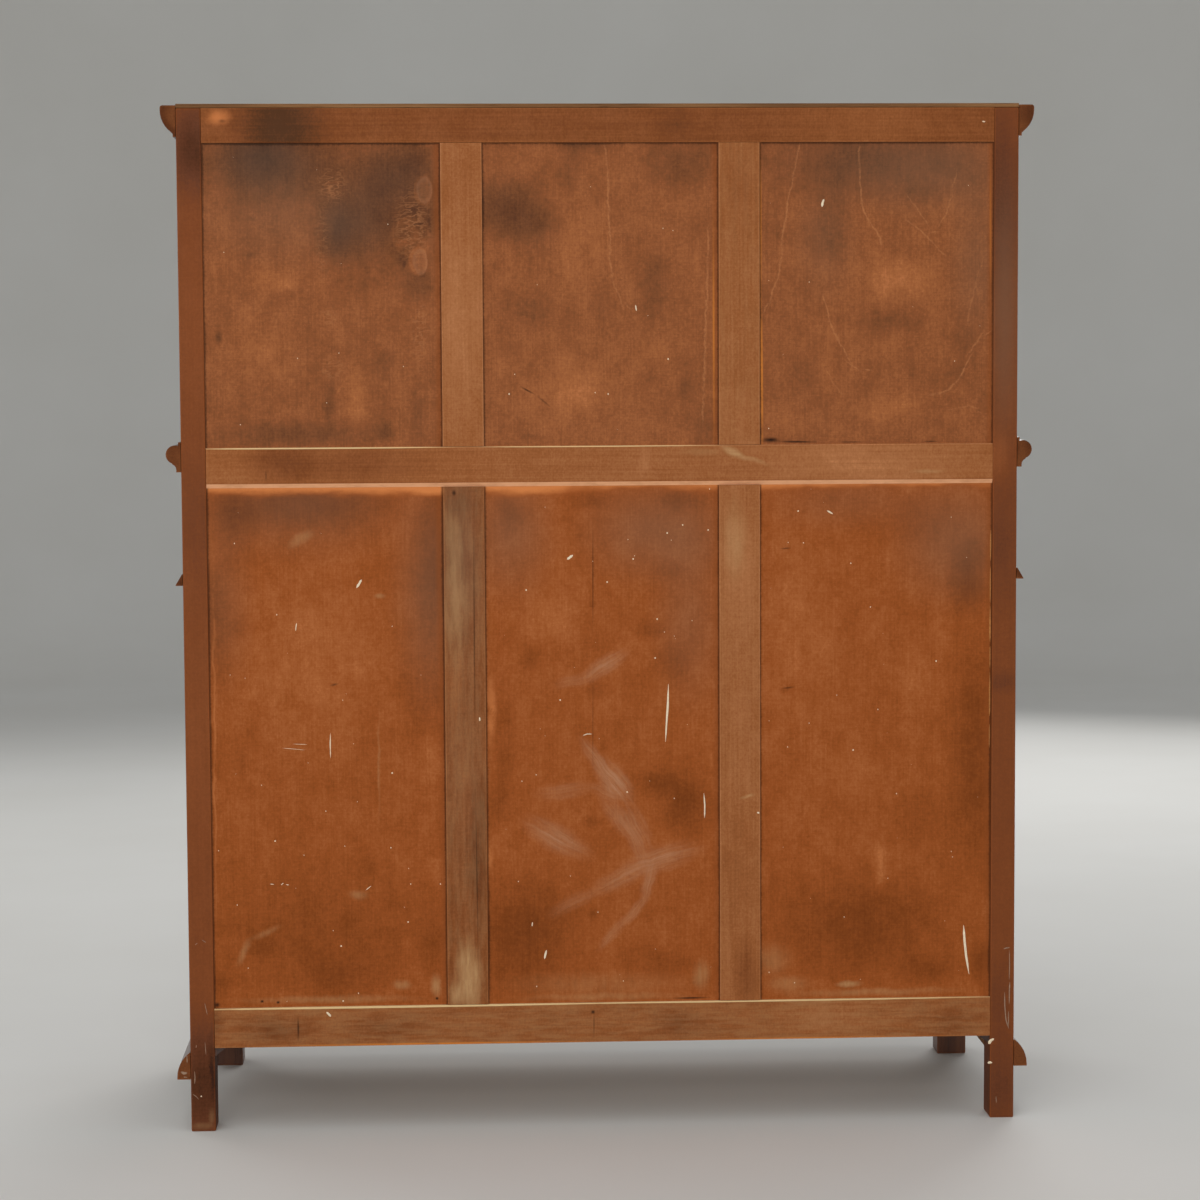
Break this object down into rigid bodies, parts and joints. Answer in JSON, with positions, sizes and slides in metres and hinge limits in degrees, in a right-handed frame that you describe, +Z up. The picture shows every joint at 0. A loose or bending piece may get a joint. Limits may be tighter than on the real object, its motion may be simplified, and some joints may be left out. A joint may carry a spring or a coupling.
{
  "type": "court cupboard",
  "caption": "Stained oak court cupboard with a plywood-panelled back, a set-back upper stage under a canopy on turned columns, and drawers over panelled doors.",
  "frame": {"origin": "on the floor under the middle of the overall box", "axes": "+Z up, -Y to the front with the doors, +Y to the framed back, +X to the right seen from the front"},
  "size_m": [1.223, 0.4716, 1.45],
  "materials": {
    "post_oak": "dark red-brown stained oak, satin, rubbed at the edges",
    "back_frame_oak": "orange-brown stained wood, dull and dusty",
    "back_plywood": "orange-brown stained plywood, dull, water marked and flecked",
    "front_oak": "dark stained and waxed oak",
    "inside_wood": "unstained wood, matt",
    "knob_oak": "dark turned oak, polished by hands"
  },
  "bodies": {
    "carcase": {"back_bottom_rail": "back_frame_oak", "back_post_left": "post_oak", "back_post_right": "post_oak", "back_top_rail": "back_frame_oak", "back_waist_rail": "back_frame_oak", "base_moulding": "post_oak", "bottom_board": "inside_wood", "bottom_front_rail": "front_oak", "column_left": "front_oak", "column_right": "front_oak", "corner_block_left": "back_frame_oak", "corner_block_right": "back_frame_oak", "cornice_moulding": "post_oak", "drawer_divider": "front_oak", "drawer_rail": "front_oak", "dust_board": "inside_wood", "frieze": "front_oak", "front_leg_left": "front_oak", "front_leg_right": "front_oak", "ledge_board": "front_oak", "lower_back_panel_left": "back_plywood", "lower_back_panel_middle": "back_plywood", "lower_back_panel_right": "back_plywood", "lower_muntin_left": "back_frame_oak", "lower_muntin_right": "back_frame_oak", "lower_side_left": "front_oak", "lower_side_right": "front_oak", "shelf": "inside_wood", "shelf_cleat_left": "inside_wood", "shelf_cleat_right": "inside_wood", "soffit_board": "front_oak", "top_board": "post_oak", "upper_back_panel_left": "back_plywood", "upper_back_panel_middle": "back_plywood", "upper_back_panel_right": "back_plywood", "upper_front_rail": "front_oak", "upper_muntin_left": "back_frame_oak", "upper_muntin_right": "back_frame_oak", "upper_side_left": "front_oak", "upper_side_right": "front_oak", "upper_stile_left": "front_oak", "upper_stile_right": "front_oak", "waist_moulding": "post_oak", "weather_moulding": "post_oak"},
    "upper_door_left": {"upper_door_frame_left": "front_oak", "upper_door_panel_left": "front_oak", "upper_door_knob_left": "knob_oak"},
    "upper_door_right": {"upper_door_frame_right": "front_oak", "upper_door_panel_right": "front_oak", "upper_door_knob_right": "knob_oak"},
    "lower_door_left": {"lower_door_frame_left": "front_oak", "lower_door_panel_left": "front_oak", "lower_door_knob_left": "knob_oak"},
    "lower_door_right": {"lower_door_frame_right": "front_oak", "lower_door_panel_right": "front_oak", "lower_door_knob_right": "knob_oak"},
    "drawer_left": {"drawer_left": "front_oak", "drawer_knob_left": "knob_oak"},
    "drawer_right": {"drawer_right": "front_oak", "drawer_knob_right": "knob_oak"}
  },
  "joints": [
    {"name": "upper_door_left_hinge", "type": "hinge", "parent": "carcase", "child": "upper_door_left", "pos_m": [-0.4525, -0.06325, 1.1455], "axis": [0, 0, -1], "range_deg": [0, 90]},
    {"name": "upper_door_right_hinge", "type": "hinge", "parent": "carcase", "child": "upper_door_right", "pos_m": [0.4525, -0.06325, 1.1455], "axis": [0, 0, 1], "range_deg": [0, 90]},
    {"name": "lower_door_left_hinge", "type": "hinge", "parent": "carcase", "child": "lower_door_left", "pos_m": [-0.5325, -0.20125, 0.471], "axis": [0, 0, -1], "range_deg": [0, 90]},
    {"name": "lower_door_right_hinge", "type": "hinge", "parent": "carcase", "child": "lower_door_right", "pos_m": [0.5325, -0.20125, 0.471], "axis": [0, 0, 1], "range_deg": [0, 90]},
    {"name": "drawer_left_slide", "type": "slide", "parent": "carcase", "child": "drawer_left", "axis": [0, -1, 0], "range_m": [0, 0.29]},
    {"name": "drawer_right_slide", "type": "slide", "parent": "carcase", "child": "drawer_right", "axis": [0, -1, 0], "range_m": [0, 0.29]}
  ]
}
